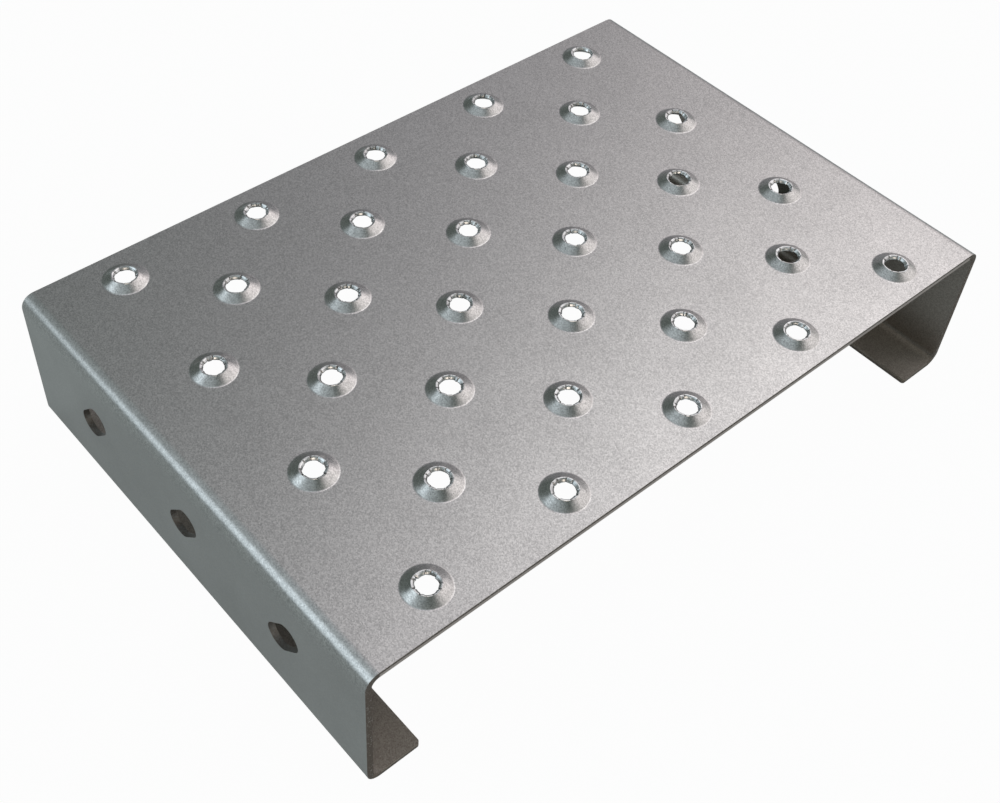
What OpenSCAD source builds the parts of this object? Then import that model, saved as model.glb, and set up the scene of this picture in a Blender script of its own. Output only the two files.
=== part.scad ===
// Metal floor panel: one sheet bent into a deck, two flanges and two lips, with raised grip holes
// The origin is on the floor under the middle of the panel, +X runs across the flanges and +Z is up

/* [Panel] */
// Overall width across the outer faces of the two flanges
panel_w = 250; // [150:1:400]
// Length along the bends, between the two cut ends
panel_l = 168; // [96:1:600]
// Height from the underside of the lips to the top of the deck
panel_h = 52; // [44:1:120]

/* [Sheet] */
// Thickness of the sheet
sheet_t = 2; // [1:0.1:4]
// Inside radius of the four bends
bend_r = 2.5; // [1:0.5:8]

/* [Lips] */
// Reach of each lip under the deck, from the outer face of its flange
lip_w = 18; // [15:0.5:60]
// Radius of the two free corners of each lip
lip_corner_r = 1; // [0.5:0.5:8]

/* [Raised holes] */
// Distance between neighbouring holes along a row
hole_pitch = 48; // [30:1:80]
// Distance between neighbouring rows, which are shifted by half a hole pitch
row_pitch = 24; // [18:1:60]
// Least distance from the outer face of a flange to the centre of a hole
hole_edge = 20; // [18:1:60]
// Diameter of the raised cone where it leaves the deck
cone_d = 14; // [11:0.5:18]
// Diameter of the rim at the top of the cone
rim_d = 8.2; // [7.2:0.1:10]
// Height of the rim above the deck
rim_h = 1.8; // [1:0.1:4]
// Width of the narrow level band round the top of the rim
rim_band = 0.15; // [0.1:0.05:0.3]
// Height of the hole's edge, from the rim down to the dimple under it
edge_h = 1; // [0.5:0.1:1.2]
// Clear diameter of the hole at its narrowest
throat_d = 6.5; // [4:0.1:7.2]
// Height of the straight wall at the narrowest part of the hole
throat_h = 0.3; // [0.2:0.05:0.45]
// Radius of the blend between the deck and the cone
foot_r = 1; // [0.2:0.1:3]

/* [Flange slots] */
// Width of a bolt slot
slot_w = 9; // [5:0.5:14]
// Length of a bolt slot from end to end
slot_l = 16; // [15:0.5:24]
// Slant of the slots
slot_angle = 45; // [0:5:90]
// Distance between neighbouring slots along a flange
slot_pitch = 48; // [30:1:120]
// Least distance from a cut end to the centre of a slot
slot_end = 24; // [16:1:40]
// Depth of the slot centres below the top of the deck
slot_drop = 24; // [20:0.5:26]

/* [Hidden] */
$fn = 96;
// Overlap that keeps faces of joined and cut shapes apart
lap = 0.5;
outer_bend_r = bend_r + sheet_t;
cone_slope = atan(2 * rim_h / (cone_d - rim_d));
throat_z = rim_h - edge_h;
// The dimple under the deck starts below the foot of the cone, and its wall thins towards the rim
dimple_r = cone_d / 2 - sheet_t * tan(cone_slope / 2);
dimple_slope = atan((throat_z + sheet_t) / (dimple_r - throat_d / 2));
dimple_edge_r = foot_r + sheet_t;
rows = floor(panel_l / row_pitch);
full_row = floor((panel_w - 2 * hole_edge) / hole_pitch) + 1;
slots = floor((panel_l - 2 * slot_end) / slot_pitch) + 1;

// A rectangle with four round corners, centred on X and standing on Y = 0
module rounded_rectangle(w, h, r) {
  translate([-w / 2 + r, 0])
    square([w - 2 * r, h]);
  translate([-w / 2, r])
    square([w, h - 2 * r]);
  for (x = [-w / 2 + r, w / 2 - r], y = [r, h - r])
    translate([x, y])
      circle(r);
}

// The bent sheet's cross-section, open between the lips
module section() {
  difference() {
    rounded_rectangle(panel_w, panel_h, outer_bend_r);
    translate([0, sheet_t])
      rounded_rectangle(panel_w - 2 * sheet_t, panel_h - 2 * sheet_t, bend_r);
    translate([-panel_w / 2 + lip_w, -lap])
      square([panel_w - 2 * lip_w, sheet_t + 2 * lap]);
  }
}

module bent_sheet() {
  translate([0, panel_l / 2, 0])
    rotate([90, 0, 0])
      linear_extrude(panel_l)
        section();
}

// Waste outside the round of one free lip corner, with the corner at the origin
module lip_corner_waste() {
  difference() {
    translate([-lap, -lap, -lap])
      cube([lip_corner_r + lap, lip_corner_r + lap, sheet_t + 2 * lap]);
    translate([lip_corner_r, lip_corner_r, -2 * lap])
      cylinder(r = lip_corner_r, h = sheet_t + 4 * lap);
  }
}

module lip_corners_waste() {
  for (side = [0, 1], end = [0, 1])
    mirror([side, 0, 0])
      mirror([0, end, 0])
        translate([panel_w / 2 - lip_w, -panel_l / 2, 0])
          lip_corner_waste();
}

// Places its children at the top of the deck at each hole
module at_each_hole() {
  for (row = [0 : rows - 1]) {
    in_row = full_row - row % 2;
    for (hole = [0 : in_row - 1])
      translate([
        (hole - (in_row - 1) / 2) * hole_pitch,
        (row - (rows - 1) / 2) * row_pitch,
        panel_h
      ])
        children();
  }
}

// The web between a corner and the arc that blends level ground into a slope
module blend_web(r, slope) {
  reach = r * tan(slope / 2);
  difference() {
    polygon([
      [0, -lap],
      [reach, -lap],
      [reach, r],
      [-reach * cos(slope), reach * sin(slope)],
      [0, 0]
    ]);
    translate([reach, r])
      circle(r);
  }
}

// The cone pressed up round a hole, solid, with a soft foot
module raised_cone() {
  rotate_extrude() {
    polygon([
      [0, -lap],
      [cone_d / 2, -lap],
      [cone_d / 2, 0],
      [rim_d / 2, rim_h],
      [0, rim_h]
    ]);
    translate([cone_d / 2, 0])
      blend_web(foot_r, cone_slope);
  }
}

// The space inside a raised hole: the dimple under the deck, the throat and the flare up to the rim
module hole_void() {
  rotate_extrude() {
    polygon([
      [0, -sheet_t - lap],
      [dimple_r, -sheet_t - lap],
      [dimple_r, -sheet_t],
      [throat_d / 2, throat_z],
      [throat_d / 2, throat_z + throat_h],
      [rim_d / 2 - rim_band, rim_h],
      [rim_d / 2 - rim_band, rim_h + lap],
      [0, rim_h + lap]
    ]);
    translate([dimple_r, -sheet_t])
      blend_web(dimple_edge_r, dimple_slope);
  }
}

// One slanted bolt slot through a flange that faces +X
module slot_void() {
  straight = slot_l - slot_w;
  rotate([slot_angle, 0, 0])
    rotate([90, 0, 90])
      linear_extrude(sheet_t + 2 * lap) {
        square([straight, slot_w], center = true);
        for (end = [-1, 1])
          translate([end * straight / 2, 0])
            circle(d = slot_w);
      }
}

// The slots of both flanges, which look alike from outside either flange
module slot_voids() {
  for (turn = [0, 180], slot = [0 : slots - 1])
    rotate([0, 0, turn])
      translate([
        panel_w / 2 - sheet_t - lap,
        (slot - (slots - 1) / 2) * slot_pitch,
        panel_h - slot_drop
      ])
        slot_void();
}

module floor_panel() {
  color("silver")
    difference() {
      union() {
        bent_sheet();
        at_each_hole()
          raised_cone();
      }
      at_each_hole()
        hole_void();
      slot_voids();
      lip_corners_waste();
    }
}

floor_panel();
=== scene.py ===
"""Dresses the metal floor panel: a galvanised finish, torn rims on the raised holes, and a stage."""

import math
import random

import bmesh
import bpy
from bpy.props import FloatProperty, FloatVectorProperty, IntProperty, PointerProperty
from mathutils import Euler, Matrix, Vector


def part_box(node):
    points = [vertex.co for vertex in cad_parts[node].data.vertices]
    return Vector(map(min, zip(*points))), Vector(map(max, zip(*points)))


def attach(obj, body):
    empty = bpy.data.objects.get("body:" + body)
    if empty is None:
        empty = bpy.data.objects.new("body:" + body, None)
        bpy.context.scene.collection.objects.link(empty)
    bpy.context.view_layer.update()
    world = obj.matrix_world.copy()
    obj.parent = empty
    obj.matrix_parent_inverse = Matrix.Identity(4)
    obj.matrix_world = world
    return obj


bl_info = {
    "name": "Metal floor panel",
    "version": (1, 0, 0),
    "blender": (4, 5, 0),
    "location": "3D View > Sidebar > Floor panel",
    "description": "Finishes a folded steel floor panel, tears the rims of its raised holes and sets a stage",
    "category": "Object",
}

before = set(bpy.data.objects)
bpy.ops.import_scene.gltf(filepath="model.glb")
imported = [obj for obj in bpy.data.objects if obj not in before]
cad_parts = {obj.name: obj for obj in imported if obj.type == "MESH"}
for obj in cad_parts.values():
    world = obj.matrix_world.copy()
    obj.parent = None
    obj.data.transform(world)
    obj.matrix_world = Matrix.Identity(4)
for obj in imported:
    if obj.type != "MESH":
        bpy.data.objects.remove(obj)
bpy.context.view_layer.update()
PANEL = "floor_panel"
LOW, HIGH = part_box(PANEL)
PANEL_W = HIGH.x - LOW.x
PANEL_L = HIGH.y - LOW.y
MM = 0.001
# Height of the raised holes above the deck.
BUTTON_H = 1.8 * MM
DECK_Z = HIGH.z - BUTTON_H
# Depth of the skin that still counts as a face.
SKIN = 0.05 * MM
# Gap that keeps the floor clear of the undersides of the lips.
FLOOR_GAP = 0.2 * MM
# Width of the camera's sensor in millimetres, and the nearest place that it shows.
SENSOR_W = 36.0
NEAR_CLIP = 10 * MM

WHITE = (1.0, 1.0, 1.0, 1.0)
# Attribute of the torn rims: painted shade in the cracks between the flakes, and a random dullness of each
# flake.
CRACK_SHADE = "crack_shade"
LOOSE = "loose"

# Noise seldom leaves these two values, so they are taken as its range.
NOISE_LOW, NOISE_HIGH = 0.3, 0.7
NOISE_ROUGHNESS = 0.6
MEAN_SPECK = 0.5
# Share of dull zinc, and change of roughness, between the clouds and in them.
CLOUD_DULLNESS = (0.42, 0.58)
CLOUD_ROUGHNESS = (-0.01, 0.02)
# Share of the deck's grain that shows on the flanges.
FLANGE_GRAIN = 0.3
# Share of bare steel in the darkest specks of the inner face.
INNER_GRIT = 0.6
# Specks above this value glint on the cut edges.
GLINT_FROM = 0.75
# Share of dull zinc in the dullest specks of the torn rims.
FLAKE_DULLNESS = 0.4
# Share of the sheet's thickness that lies above the pale band on the deck's ends, a burnished band of the cut
# that is painted pale as a reflection of the pale floor.
ABOVE_SHEARED = 0.4
# A face points down where the height of its normal is below this.
POINTS_DOWN = -0.1
# How much rougher each region is than the galvanised face; below zero it is smoother.
ROUGHER = {"cut": 0.3, "inner": 0.12, "painted_end_light": 0.3, "slots": 0.2, "cones": -0.08}

# Rings of a torn rim, from its outer foot over the crest into the throat and back under the ledge:
# height against the top of the buttons, and how freely the flakes move the ring.
RIM_RINGS = {
    "foot": (-0.25 * MM, 0.0),
    "crest": (0.04 * MM, 0.4),
    "crest_inside": (0.03 * MM, 0.5),
    "ledge": (-0.22 * MM, 0.7),
    "throat_top": (-0.7 * MM, 1.0),
    "throat_bottom": (-1.02 * MM, 1.0),
    "back": (-0.8 * MM, 0.0),
}
# Widths of the rim's foot outside the crest, of the crest, and of the rim's back inside the crest.
FOOT_W = 0.2 * MM
CREST_W = 0.28 * MM
BACK_W = 0.4 * MM
# Place of the ledge between the throat and the crest.
LEDGE_SHARE = 0.35

# Flakes: how their number varies, how far their ends shift, what is drawn for each, and its effect.
FLAKE_SPREAD = 2
FLAKE_SHIFT = 0.3
FLAKE_DRAWS = ("out", "tilt", "lift", "shade")
FLAKE_LIFT = 0.5
FLAKE_SHADE = 0.4
# Cracks between the flakes: range of depths, which also set how dark their painted shade is, half width in
# steps round the rim, and push outwards.
CRACK_DEPTHS = (0.3, 1.0)
CRACK_STEPS = 0.9
CRACK_PUSH = 1.2

# Soft patches of light round the panel: direction, reach in degrees, and level in red, green and blue.
SOFT_LIGHTS = {
    "key": ((0.52, 0.22, 0.83), 20.0, (0.80, 0.83, 0.81)),
    "near": ((0.30, 0.15, 0.94), 25.0, (0.47, 0.37, 0.40)),
    "right": ((0.77, -0.26, 0.58), 50.0, (1.05, 0.97, 0.96)),
    "side": ((0.78, 0.28, 0.56), 25.0, (0.20, 0.17, 0.16)),
    "back": ((0.75, 0.50, 0.43), 42.0, (0.22, 0.19, 0.22)),
    "left": ((-0.77, 0.40, 0.50), 29.0, (1.12, 1.27, 1.36)),
    "top": ((-0.26, 0.21, 0.94), 42.0, (0.40, 0.44, 0.47)),
}


class FLOORPANEL_PG_finish(bpy.types.PropertyGroup):
    """Colours and grain of the galvanised sheet."""

    zinc: FloatVectorProperty(
        name="Zinc",
        description="Colour of the galvanised surface",
        subtype="COLOR",
        size=4,
        min=0.0,
        max=1.0,
        default=(0.745, 0.74, 0.735, 1.0),
    )
    zinc_dull: FloatVectorProperty(
        name="Dull zinc",
        description="Colour of the duller specks and clouds in the galvanised surface",
        subtype="COLOR",
        size=4,
        min=0.0,
        max=1.0,
        default=(0.39, 0.39, 0.39, 1.0),
    )
    inner: FloatVectorProperty(
        name="Inner face",
        description="Colour of the duller, slightly brown inner face of the sheet",
        subtype="COLOR",
        size=4,
        min=0.0,
        max=1.0,
        default=(0.62, 0.585, 0.55, 1.0),
    )
    cut_steel: FloatVectorProperty(
        name="Cut steel",
        description="Colour of the sheared and punched edges, where the zinc is missing",
        subtype="COLOR",
        size=4,
        min=0.0,
        max=1.0,
        default=(0.23, 0.20, 0.18, 1.0),
    )
    # Partly the burnished band that shears leave and partly a painted reflection: its pale colour stands in
    # for the pale floor that the band mirrors.
    sheared_and_painted_reflection: FloatVectorProperty(
        name="Sheared band",
        description="Colour of the paler band that the shears leave on the lower part of the deck's ends",
        subtype="COLOR",
        size=4,
        min=0.0,
        max=1.0,
        default=(0.66, 0.595, 0.575, 1.0),
    )
    torn: FloatVectorProperty(
        name="Torn zinc",
        description="Colour of the bright flakes of the torn rims",
        subtype="COLOR",
        size=4,
        min=0.0,
        max=1.0,
        default=(0.90, 0.92, 0.94, 1.0),
    )
    # Painted shade: this dark colour in the cracks between the flakes stands in for the shade inside them; it
    # also dulls some flakes at random.
    crack_shade: FloatVectorProperty(
        name="Crack shade",
        description="Colour of the cracks between the flakes of the torn rims",
        subtype="COLOR",
        size=4,
        min=0.0,
        max=1.0,
        default=(0.10, 0.09, 0.085, 1.0),
    )
    # Painted light: near the open ends the lips' inner face is made matt and takes this colour, so that it
    # lights up there as if light came in at the ends.
    painted_end_light: FloatVectorProperty(
        name="Painted end light",
        description="Colour of the dust that lies on the lips near the open ends",
        subtype="COLOR",
        size=4,
        min=0.0,
        max=1.0,
        default=(0.46, 0.43, 0.395, 1.0),
    )
    painted_light_reach: FloatProperty(
        name="Dust reach",
        description="How far the dust lies in from the open ends",
        unit="LENGTH",
        default=45 * MM,
    )
    roughness: FloatProperty(
        name="Roughness",
        description="Mean roughness of the galvanised surface",
        subtype="FACTOR",
        min=0.0,
        max=1.0,
        default=0.30,
    )
    sheet_t: FloatProperty(
        name="Sheet thickness",
        description="Thickness of the sheet, which tells the cut edges from the faces",
        unit="LENGTH",
        default=2.0 * MM,
    )
    bend_r: FloatProperty(
        name="Outer bend radius",
        description="Outer radius of the bends between deck, flanges and lips",
        unit="LENGTH",
        default=4.5 * MM,
    )
    grain: FloatProperty(
        name="Grain size",
        description="Size of the fine grain in the zinc",
        unit="LENGTH",
        default=0.32 * MM,
    )
    grain_depth: FloatProperty(
        name="Grain depth",
        description="Height of the fine grain in the zinc",
        unit="LENGTH",
        default=0.008 * MM,
    )
    cloud: FloatProperty(
        name="Cloud size",
        description="Size of the soft, duller clouds in the zinc",
        unit="LENGTH",
        default=26 * MM,
    )


class FLOORPANEL_PG_rims(bpy.types.PropertyGroup):
    """Pattern of the raised holes and sizes of their torn rims."""

    hole_pitch: FloatProperty(
        name="Hole pitch",
        description="Distance between the holes of a row, across the panel",
        unit="LENGTH",
        default=48 * MM,
    )
    row_pitch: FloatProperty(
        name="Row pitch",
        description="Distance between the rows, along the panel",
        unit="LENGTH",
        default=24 * MM,
    )
    full_row: IntProperty(
        name="Holes in a full row",
        description="Number of holes in the end rows; the rows between have one fewer, by turns",
        min=2,
        default=5,
    )
    crest_r: FloatProperty(
        name="Crest radius",
        description="Radius of the torn crest",
        unit="LENGTH",
        default=4.08 * MM,
    )
    throat_r: FloatProperty(
        name="Throat radius",
        description="Radius of the torn lip in the throat of the hole",
        unit="LENGTH",
        default=3.12 * MM,
    )
    tear: FloatProperty(
        name="Tear",
        description="How far the torn flakes stand out of the round rim",
        unit="LENGTH",
        default=0.17 * MM,
    )
    flakes: IntProperty(
        name="Flakes",
        description="Mean number of flakes round a rim",
        min=4,
        default=11,
    )
    segments: IntProperty(
        name="Segments",
        description="Number of steps round a rim",
        min=12,
        default=84,
    )
    seed: IntProperty(
        name="Seed",
        description="Start of the random tearing",
        default=7,
    )


class FLOORPANEL_PG_stage(bpy.types.PropertyGroup):
    """Floor, light and camera."""

    floor_size: FloatProperty(
        name="Floor size",
        description="Side of the square floor",
        unit="LENGTH",
        default=12.0,
    )
    floor_colour: FloatVectorProperty(
        name="Floor",
        description="Colour of the plain floor",
        subtype="COLOR",
        size=4,
        min=0.0,
        max=1.0,
        default=(0.24, 0.31, 0.305, 1.0),
    )
    pale_share: FloatProperty(
        name="Paleness",
        description="Share of plain white in the floor as the camera sees it; the rest keeps the shadow",
        subtype="FACTOR",
        min=0.0,
        max=1.0,
        default=0.975,
    )
    room_mirrored: FloatProperty(
        name="Paleness of the mirrored room",
        description="Share of plain white in the room as the metal mirrors it",
        subtype="FACTOR",
        min=0.0,
        max=1.0,
        default=0.05,
    )
    floor_mirrored: FloatProperty(
        name="Paleness of the mirrored floor",
        description="Share of plain white in the floor round the panel as the metal mirrors it",
        subtype="FACTOR",
        min=0.0,
        max=1.0,
        default=0.19,
    )
    floor_fade: FloatProperty(
        name="Fade under the panel",
        description="How far under the panel the mirrored floor fades into the panel's shadow",
        unit="LENGTH",
        default=65 * MM,
    )
    room_colour: FloatVectorProperty(
        name="Room",
        description="Colour of the dim room between the soft lights",
        subtype="COLOR",
        size=4,
        min=0.0,
        max=1.0,
        default=(0.087, 0.110, 0.098, 1.0),
    )
    lamp_place: FloatVectorProperty(
        name="Lamp place",
        description="Place of the low lamp that lights the inside of the panel",
        subtype="XYZ",
        unit="LENGTH",
        default=(-0.75, -1.25, 0.50),
    )
    lamp_size: FloatProperty(
        name="Lamp size",
        description="Width of the low lamp",
        unit="LENGTH",
        default=1.0,
    )
    lamp_level: FloatProperty(
        name="Lamp level",
        description="Brightness of the low lamp's face, where 1 is white",
        default=1.7,
    )
    lamp_colour: FloatVectorProperty(
        name="Lamp",
        description="Colour of the low lamp",
        subtype="COLOR",
        size=3,
        min=0.0,
        max=1.0,
        default=(1.0, 0.85, 0.72),
    )
    camera_place: FloatVectorProperty(
        name="Camera place",
        description="Place of the camera",
        subtype="XYZ",
        unit="LENGTH",
        default=(-228.54 * MM, -225.03 * MM, 350.11 * MM),
    )
    camera_turn: FloatVectorProperty(
        name="Camera turn",
        description="Turn of the camera",
        subtype="EULER",
        default=(math.radians(42.781), math.radians(-2.613), math.radians(-40.87)),
    )
    camera_lens: FloatProperty(
        name="Focal length",
        description="Focal length on a sensor 36 mm wide, in millimetres",
        default=50.603,
    )
    camera_shift: FloatVectorProperty(
        name="Camera shift",
        description="Shift of the frame, as a share of the picture's width",
        size=2,
        default=(0.02, -0.0265),
    )


def add_node(tree, kind, **sockets):
    """Adds a shader node and sets the input sockets that are named, with spaces written as underscores."""
    node = tree.nodes.new(kind)
    for name, value in sockets.items():
        node.inputs[name.replace("_", " ")].default_value = value
    return node


def math_node(tree, operation, first, second=None):
    """Adds a Math node of two values, each a number or an output socket, and returns its output."""
    node = tree.nodes.new("ShaderNodeMath")
    node.operation = operation
    for socket, value in zip(node.inputs, (first, second)):
        if isinstance(value, bpy.types.NodeSocket):
            tree.links.new(value, socket)
        elif value is not None:
            socket.default_value = value
    return node.outputs[0]


def mix_colours(tree, share, first, second):
    """Adds a Mix node for two colours, each a colour or an output socket, and returns its output."""
    node = tree.nodes.new("ShaderNodeMix")
    node.data_type = "RGBA"
    tree.links.new(share, node.inputs["Factor"])
    for socket, value in ((node.inputs[6], first), (node.inputs[7], second)):
        if isinstance(value, bpy.types.NodeSocket):
            tree.links.new(value, socket)
        else:
            socket.default_value = value
    return node.outputs[2]


def spread(tree, value, low, high, to_low, to_high):
    """Adds a Map Range node that spreads a value over a new range, and returns its output."""
    node = add_node(tree, "ShaderNodeMapRange", From_Min=low, From_Max=high, To_Min=to_low, To_Max=to_high)
    tree.links.new(value, node.inputs["Value"])
    return node.outputs[0]


def noise(tree, place, size, detail):
    """Adds a noise of a given size in metres on Object coordinates, and returns its output."""
    node = add_node(tree, "ShaderNodeTexNoise", Scale=1.0 / size, Detail=detail, Roughness=NOISE_ROUGHNESS)
    tree.links.new(place, node.inputs["Vector"])
    return node.outputs[0]


def cells(tree, place, size):
    """Adds cells of a given size in metres on Object coordinates, and returns one value for each cell."""
    node = add_node(tree, "ShaderNodeTexVoronoi", Scale=1.0 / size)
    tree.links.new(place, node.inputs["Vector"])
    return node.outputs["Color"]


def between(tree, value, low, high):
    """Returns an output that is 1 where a value lies between two numbers, and 0 elsewhere."""
    above = math_node(tree, "GREATER_THAN", value, low)
    below = math_node(tree, "LESS_THAN", value, high)
    return math_node(tree, "MULTIPLY", above, below)


def new_material(name):
    """Returns a new material with its tree, its shader and its Object coordinates."""
    material = bpy.data.materials.new(name)
    material.use_nodes = True
    tree = material.node_tree
    shader = tree.nodes["Principled BSDF"]
    place = tree.nodes.new("ShaderNodeTexCoord").outputs["Object"]
    return material, tree, shader, place


class SheetMasks:
    """Outputs that tell the regions of the folded sheet apart: 1 in the region and 0 elsewhere."""

    def __init__(self, tree, place, finish):
        half_w = PANEL_W / 2
        half_l = PANEL_L / 2
        sheet_t = finish.sheet_t
        bend_r = finish.bend_r
        mid_lip = sheet_t / 2
        deck_underside = DECK_Z - sheet_t
        painted_light_top = sheet_t + bend_r / 4
        parts = tree.nodes.new("ShaderNodeSeparateXYZ")
        tree.links.new(place, parts.inputs[0])
        across = math_node(tree, "ABSOLUTE", parts.outputs["X"])
        along = math_node(tree, "ABSOLUTE", parts.outputs["Y"])
        up = parts.outputs["Z"]

        ends = math_node(tree, "GREATER_THAN", along, half_l - SKIN)
        clear_of_bend = math_node(tree, "LESS_THAN", across, half_w - bend_r)
        in_flange = between(tree, across, half_w - sheet_t + SKIN, half_w - SKIN)
        flat_height = between(tree, up, bend_r, DECK_Z - bend_r)
        self.slots = math_node(tree, "MULTIPLY", in_flange, flat_height)

        lip_edges = math_node(tree, "MULTIPLY", between(tree, up, SKIN, mid_lip), clear_of_bend)
        lip_tops = math_node(tree, "MULTIPLY", between(tree, up, mid_lip, sheet_t), clear_of_bend)
        bare_ends = math_node(tree, "MULTIPLY", ends, math_node(tree, "SUBTRACT", 1.0, lip_tops))
        self.cut = math_node(tree, "MAXIMUM", bare_ends, lip_edges)

        self.cones = spread(tree, up, DECK_Z, DECK_Z + BUTTON_H / 2, 0.0, 1.0)
        self.grainy = spread(tree, up, DECK_Z - 2.0 * bend_r, DECK_Z - bend_r, FLANGE_GRAIN, 1.0)
        # Painted reflection: the pale lower band of the deck's cut ends.
        low_band = between(tree, up, deck_underside, DECK_Z - ABOVE_SHEARED * sheet_t)
        low_ends = math_node(tree, "MULTIPLY", ends, low_band)
        self.sheared_and_painted_reflection = math_node(tree, "MULTIPLY", low_ends, clear_of_bend)

        within = math_node(tree, "LESS_THAN", across, half_w - sheet_t + SKIN)
        under = between(tree, up, mid_lip, deck_underside + SKIN)
        facing = tree.nodes.new("ShaderNodeSeparateXYZ")
        tree.links.new(tree.nodes.new("ShaderNodeTexCoord").outputs["Normal"], facing.inputs[0])
        facing_down = math_node(tree, "LESS_THAN", facing.outputs["Z"], POINTS_DOWN)
        in_deck = math_node(tree, "GREATER_THAN", up, deck_underside)
        dimples = math_node(tree, "MULTIPLY", facing_down, in_deck)
        self.inner = math_node(tree, "MAXIMUM", math_node(tree, "MULTIPLY", within, under), dimples)

        # Painted light: the lips' inner face near the open ends, which is made matt so that it lights up as
        # if light came in at the ends.
        near_end = spread(tree, along, half_l - finish.painted_light_reach, half_l, 0.0, 1.0)
        on_lip = math_node(tree, "LESS_THAN", up, painted_light_top)
        inner_lip = math_node(tree, "MULTIPLY", on_lip, self.inner)
        self.painted_end_light = math_node(tree, "MULTIPLY", near_end, inner_lip)


def sheet_material(finish):
    """Satin galvanised steel with a fine grain, soft clouds, a duller inner face and brownish cut edges; a
    pale band on the deck's ends is partly a burnished band of the cut and partly painted reflection, and
    light near the open ends is painted onto the lips as a matt face.
    """
    material, tree, shader, place = new_material("galvanised_steel")
    masks = SheetMasks(tree, place, finish)
    clouds = noise(tree, place, finish.cloud, detail=3.0)
    grain = noise(tree, place, finish.grain, detail=1.0)
    speck = cells(tree, place, finish.grain)

    cloud_share = spread(tree, clouds, NOISE_LOW, NOISE_HIGH, *CLOUD_DULLNESS)
    speck_share = math_node(tree, "SUBTRACT", speck, MEAN_SPECK)
    uneven = math_node(tree, "MULTIPLY", speck_share, masks.grainy)
    dull_share = math_node(tree, "ADD", uneven, cloud_share)
    colour = mix_colours(tree, dull_share, finish.zinc, finish.zinc_dull)
    grit_share = spread(tree, speck, 0.0, 1.0, 0.0, INNER_GRIT)
    grit = mix_colours(tree, grit_share, finish.inner, finish.cut_steel)
    colour = mix_colours(tree, masks.inner, colour, grit)
    # Painted light on the lips near the open ends: a matt, speckled colour.
    painted_end_light = mix_colours(tree, speck, finish.painted_end_light, finish.cut_steel)
    colour = mix_colours(tree, masks.painted_end_light, colour, painted_end_light)
    slot_wall = mix_colours(tree, speck, finish.zinc_dull, finish.cut_steel)
    colour = mix_colours(tree, masks.slots, colour, slot_wall)
    glints = spread(tree, speck, GLINT_FROM, 1.0, 0.0, 1.0)
    cut_edge = mix_colours(tree, glints, finish.cut_steel, finish.zinc)
    colour = mix_colours(tree, masks.cut, colour, cut_edge)
    # Partly a burnished band, partly a painted reflection of the pale floor on the deck's ends.
    colour = mix_colours(tree, masks.sheared_and_painted_reflection, colour, finish.sheared_and_painted_reflection)
    tree.links.new(colour, shader.inputs["Base Color"])

    least, most = (finish.roughness + change for change in CLOUD_ROUGHNESS)
    roughness = spread(tree, clouds, NOISE_LOW, NOISE_HIGH, least, most)
    for region, change in ROUGHER.items():
        rougher = math_node(tree, "MULTIPLY", getattr(masks, region), change)
        roughness = math_node(tree, "ADD", roughness, rougher)
    tree.links.new(roughness, shader.inputs["Roughness"])
    bump = add_node(tree, "ShaderNodeBump", Strength=1.0, Distance=finish.grain_depth)
    tree.links.new(grain, bump.inputs["Height"])
    tree.links.new(bump.outputs[0], shader.inputs["Normal"])
    # Not metallic where light is painted near the open ends, so the lips there catch light as a matt face.
    tree.links.new(math_node(tree, "SUBTRACT", 1.0, masks.painted_end_light), shader.inputs["Metallic"])
    return material


def rim_material(finish):
    """Bright torn zinc, with a dark colour in the cracks between the flakes as painted shade, which also
    dulls some flakes at random.
    """
    material, tree, shader, place = new_material("torn_zinc")
    crack_shade = tree.nodes.new("ShaderNodeAttribute")
    crack_shade.attribute_name = CRACK_SHADE
    dull = spread(tree, cells(tree, place, finish.grain), 0.0, 1.0, 0.0, FLAKE_DULLNESS)
    flake = mix_colours(tree, dull, finish.torn, finish.zinc_dull)
    colour = mix_colours(tree, crack_shade.outputs["Fac"], flake, finish.crack_shade)
    tree.links.new(colour, shader.inputs["Base Color"])
    shader.inputs["Roughness"].default_value = finish.roughness
    shader.inputs["Metallic"].default_value = 1.0
    return material


def hole_centres(rims):
    """Yields the centre of every raised hole on the deck, row by row."""
    rows = round(PANEL_L / rims.row_pitch)
    for row in range(rows):
        holes = rims.full_row - row % 2
        y = (row - (rows - 1) / 2) * rims.row_pitch
        for hole in range(holes):
            yield Vector(((hole - (holes - 1) / 2) * rims.hole_pitch, y, 0.0))


def plain_rim(rims):
    """Returns one plain rim round the origin: a spun section, with each ring's looseness in a layer."""
    radii = {
        "foot": rims.crest_r + FOOT_W,
        "crest": rims.crest_r,
        "crest_inside": rims.crest_r - CREST_W,
        "ledge": rims.throat_r + LEDGE_SHARE * (rims.crest_r - rims.throat_r),
        "throat_top": rims.throat_r,
        "throat_bottom": rims.throat_r,
        "back": rims.crest_r - BACK_W,
    }
    rim = bmesh.new()
    rim.verts.layers.float.new(CRACK_SHADE)
    loose = rim.verts.layers.float.new(LOOSE)
    section = []
    for ring, (height, share) in RIM_RINGS.items():
        section.append(rim.verts.new((radii[ring], 0.0, HIGH.z + height)))
        section[-1][loose] = share
    edges = [rim.edges.new((vert, section[index - 1])) for index, vert in enumerate(section)]
    bmesh.ops.spin(
        rim,
        geom=section + edges,
        cent=(0.0, 0.0, 0.0),
        axis=(0.0, 0.0, 1.0),
        angle=math.tau,
        steps=rims.segments,
        use_merge=True,
    )

    def corner_order(face):
        corners = [corner.index for corner in face.verts]
        return min(corners) * len(rim.verts) + max(corners)

    # The spin leaves its faces in no fixed order, and every run should give the same mesh.
    rim.verts.index_update()
    rim.faces.sort(key=corner_order)
    return rim


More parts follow.
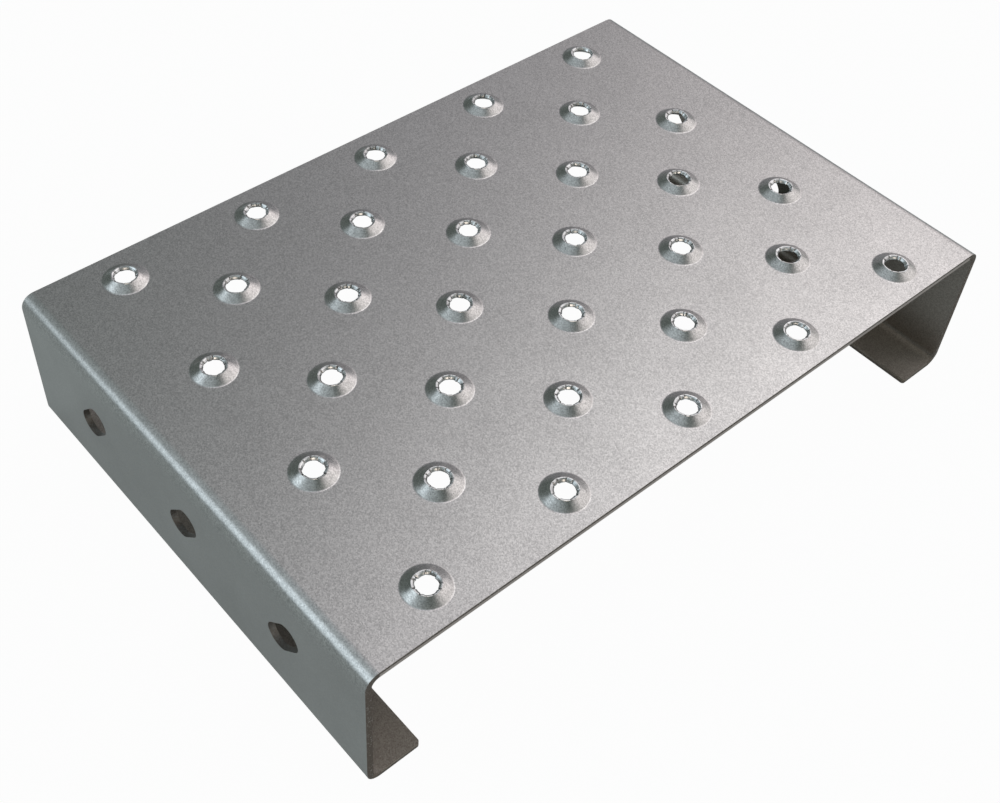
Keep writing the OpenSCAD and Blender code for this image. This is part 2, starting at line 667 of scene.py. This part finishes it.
def tear_rim(rim, rims, draw):
    """Breaks a plain rim into flakes with cracks between them, with painted shade in the cracks and a random
    dullness on the flakes.
    """
    crack_shade = rim.verts.layers.float[CRACK_SHADE]
    loose = rim.verts.layers.float[LOOSE]
    flakes = draw.randint(rims.flakes - FLAKE_SPREAD, rims.flakes + FLAKE_SPREAD)
    starts = [(flake + draw.uniform(-FLAKE_SHIFT, FLAKE_SHIFT)) / flakes for flake in range(flakes)]
    shapes = [[draw.uniform(-1.0, 1.0) for _ in FLAKE_DRAWS] for _ in range(flakes)]
    depths = [draw.uniform(*CRACK_DEPTHS) for _ in range(flakes)]
    for vert in rim.verts:
        outward = Vector((vert.co.x, vert.co.y, 0.0)).normalized()
        turn = math.atan2(outward.y, outward.x) / math.tau % 1.0
        past = [(turn - start) % 1.0 for start in starts]
        flake = past.index(min(past))
        gap = min(min(past), 1.0 - max(past)) * rims.segments
        out, tilt, lift, shade = shapes[flake]
        out += tilt * (2.0 * min(past) * flakes - 1.0)
        # Each flake gets a random dullness; in the cracks the painted shade is as dark as the cracks are
        # deep.
        vert[crack_shade] = max(0.0, FLAKE_SHADE * shade)
        if gap < CRACK_STEPS and vert[loose] > 0.0:
            depth = depths[flake]
            out, lift = CRACK_PUSH * depth, lift - depth
            vert[crack_shade] = depth
        tear = vert[loose] * rims.tear
        vert.co += outward * tear * out + Vector((0.0, 0.0, FLAKE_LIFT * tear * lift))


class FLOORPANEL_OT_finish_sheet(bpy.types.Operator):
    """Give the folded sheet its galvanised finish"""

    bl_idname = "floor_panel.finish_sheet"
    bl_label = "Finish the sheet"

    def execute(self, context):
        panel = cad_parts.get(PANEL)
        if panel is None:
            raise RuntimeError("the frame has no floor panel to finish")
        panel.data.materials[0] = sheet_material(context.scene.floor_panel_finish)
        return {"FINISHED"}


class FLOORPANEL_OT_torn_rims(bpy.types.Operator):
    """Add the torn rims of the raised holes"""

    bl_idname = "floor_panel.torn_rims"
    bl_label = "Tear the rims"

    def execute(self, context):
        rims = context.scene.floor_panel_rims
        draw = random.Random(rims.seed)
        data = bpy.data.meshes.new("torn_rims")
        plain = plain_rim(rims)
        mesh = bmesh.new()
        for centre in hole_centres(rims):
            rim = plain.copy()
            tear_rim(rim, rims, draw)
            bmesh.ops.translate(rim, verts=rim.verts, vec=centre)
            rim.to_mesh(data)
            rim.free()
            mesh.from_mesh(data)
        plain.free()
        mesh.verts.layers.float.remove(mesh.verts.layers.float[LOOSE])
        bmesh.ops.recalc_face_normals(mesh, faces=mesh.faces)
        mesh.to_mesh(data)
        mesh.free()
        piece = bpy.data.objects.new("torn_rims", data)
        context.scene.collection.objects.link(piece)
        data.materials.append(rim_material(context.scene.floor_panel_finish))
        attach(piece, "root")
        return {"FINISHED"}


def pale_share_socket(tree, stage, mirror_share):
    """Returns the share of plain white that a ray finds: most for the camera, less in reflections."""
    path = tree.nodes.new("ShaderNodeLightPath")
    straight = math_node(tree, "MAXIMUM", path.outputs["Is Camera Ray"], path.outputs["Is Transmission Ray"])
    seen = math_node(tree, "MULTIPLY", straight, stage.pale_share)
    mirrored = math_node(tree, "MULTIPLY", path.outputs["Is Glossy Ray"], mirror_share)
    return math_node(tree, "MAXIMUM", seen, mirrored)


def build_floor(scene, stage):
    """A plain pale floor that keeps the panel's shadow."""
    mesh = bmesh.new()
    place = Matrix.Translation((0.0, 0.0, LOW.z - FLOOR_GAP))
    bmesh.ops.create_grid(mesh, x_segments=1, y_segments=1, size=stage.floor_size / 2, matrix=place)
    data = bpy.data.meshes.new("floor")
    mesh.to_mesh(data)
    mesh.free()
    floor = bpy.data.objects.new("floor", data)
    scene.collection.objects.link(floor)
    material = bpy.data.materials.new("pale_floor")
    material.use_nodes = True
    tree = material.node_tree
    tree.nodes.clear()
    output = tree.nodes.new("ShaderNodeOutputMaterial")
    matte = add_node(tree, "ShaderNodeBsdfDiffuse", Color=stage.floor_colour)
    white = add_node(tree, "ShaderNodeEmission", Color=WHITE, Strength=1.0)
    mix = tree.nodes.new("ShaderNodeMixShader")
    parts = tree.nodes.new("ShaderNodeSeparateXYZ")
    tree.links.new(tree.nodes.new("ShaderNodeTexCoord").outputs["Object"], parts.inputs[0])
    along = math_node(tree, "ABSOLUTE", parts.outputs["Y"])
    depth = spread(tree, along, HIGH.y - stage.floor_fade, HIGH.y, 1.0, 0.0)
    under = math_node(tree, "MULTIPLY", between(tree, parts.outputs["X"], LOW.x, HIGH.x), depth)
    mirror_share = spread(tree, under, 0.0, 1.0, stage.floor_mirrored, 0.0)
    tree.links.new(pale_share_socket(tree, stage, mirror_share), mix.inputs[0])
    tree.links.new(matte.outputs[0], mix.inputs[1])
    tree.links.new(white.outputs[0], mix.inputs[2])
    tree.links.new(mix.outputs[0], output.inputs["Surface"])
    data.materials.append(material)


def soft_light(tree, ray, direction, reach, level):
    """Adds a round patch of light that fades out at its reach from one direction, and returns its output."""
    facing = tree.nodes.new("ShaderNodeVectorMath")
    facing.operation = "DOT_PRODUCT"
    facing.inputs[1].default_value = Vector(direction).normalized()
    tree.links.new(ray, facing.inputs[0])
    fade = add_node(tree, "ShaderNodeMapRange", From_Min=math.cos(math.radians(reach)), From_Max=1.0)
    fade.interpolation_type = "SMOOTHSTEP"
    tree.links.new(facing.outputs["Value"], fade.inputs["Value"])
    light = tree.nodes.new("ShaderNodeVectorMath")
    light.operation = "SCALE"
    light.inputs[0].default_value = level
    tree.links.new(fade.outputs[0], light.inputs["Scale"])
    return light.outputs[0]


def build_room(scene, stage):
    """A dim room with soft patches of light, which the camera sees as white."""
    world = bpy.data.worlds.new("room")
    world.use_nodes = True
    tree = world.node_tree
    ray = tree.nodes.new("ShaderNodeTexCoord").outputs["Generated"]
    walls = tree.nodes.new("ShaderNodeRGB")
    walls.outputs[0].default_value = stage.room_colour
    room = walls.outputs[0]
    for direction, reach, level in SOFT_LIGHTS.values():
        both = tree.nodes.new("ShaderNodeVectorMath")
        tree.links.new(room, both.inputs[0])
        tree.links.new(soft_light(tree, ray, direction, reach, level), both.inputs[1])
        room = both.outputs[0]
    seen = mix_colours(tree, pale_share_socket(tree, stage, stage.room_mirrored), room, WHITE)
    tree.links.new(seen, tree.nodes["Background"].inputs["Color"])
    scene.world = world


def build_lamp(scene, stage):
    """A low, round soft lamp that lights the inside of the panel through its near end."""
    face_area = math.pi * (stage.lamp_size / 2) ** 2
    lamp = bpy.data.lights.new("low_lamp", "AREA")
    lamp.shape = "DISK"
    lamp.size = stage.lamp_size
    lamp.energy = stage.lamp_level * math.pi * face_area
    lamp.color = stage.lamp_colour
    item = bpy.data.objects.new("low_lamp", lamp)
    item.location = stage.lamp_place
    item.rotation_euler = Vector(stage.lamp_place).to_track_quat("Z", "Y").to_euler()
    item.visible_camera = False
    scene.collection.objects.link(item)


def build_camera(scene, stage):
    """The camera at the photograph's viewing angle."""
    data = bpy.data.cameras.new("camera")
    data.lens = stage.camera_lens
    data.sensor_width = SENSOR_W
    data.shift_x, data.shift_y = stage.camera_shift
    data.clip_start = NEAR_CLIP
    camera = bpy.data.objects.new("camera", data)
    camera.location = stage.camera_place
    camera.rotation_euler = Euler(stage.camera_turn)
    scene.collection.objects.link(camera)
    scene.camera = camera


class FLOORPANEL_OT_stage(bpy.types.Operator):
    """Set the floor, the room with its soft lights, the low lamp and the camera"""

    bl_idname = "floor_panel.stage"
    bl_label = "Set the stage"

    def execute(self, context):
        scene = context.scene
        stage = scene.floor_panel_stage
        build_floor(scene, stage)
        build_room(scene, stage)
        build_lamp(scene, stage)
        build_camera(scene, stage)
        scene.view_settings.view_transform = "Standard"
        return {"FINISHED"}


class FLOORPANEL_PT_sidebar(bpy.types.Panel):
    """Lists the steps that dress the floor panel"""

    bl_label = "Floor panel"
    bl_idname = "FLOORPANEL_PT_sidebar"
    bl_space_type = "VIEW_3D"
    bl_region_type = "UI"
    bl_category = "Floor panel"

    def draw(self, context):
        for step in STEPS:
            self.layout.operator(step.bl_idname)


SETTINGS = {
    "floor_panel_finish": FLOORPANEL_PG_finish,
    "floor_panel_rims": FLOORPANEL_PG_rims,
    "floor_panel_stage": FLOORPANEL_PG_stage,
}
STEPS = (FLOORPANEL_OT_finish_sheet, FLOORPANEL_OT_torn_rims, FLOORPANEL_OT_stage)
CLASSES = (*SETTINGS.values(), *STEPS, FLOORPANEL_PT_sidebar)


def register():
    """Adds the classes and the scene's settings."""
    for cls in CLASSES:
        bpy.utils.register_class(cls)
    for name, group in SETTINGS.items():
        setattr(bpy.types.Scene, name, PointerProperty(type=group))


def unregister():
    """Takes the scene's settings and the classes away."""
    for name in SETTINGS:
        delattr(bpy.types.Scene, name)
    for cls in reversed(CLASSES):
        bpy.utils.unregister_class(cls)


def main():
    """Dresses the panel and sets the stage."""
    register()
    bpy.ops.floor_panel.finish_sheet()
    bpy.ops.floor_panel.torn_rims()
    bpy.ops.floor_panel.stage()


if __name__ == "__main__":
    main()
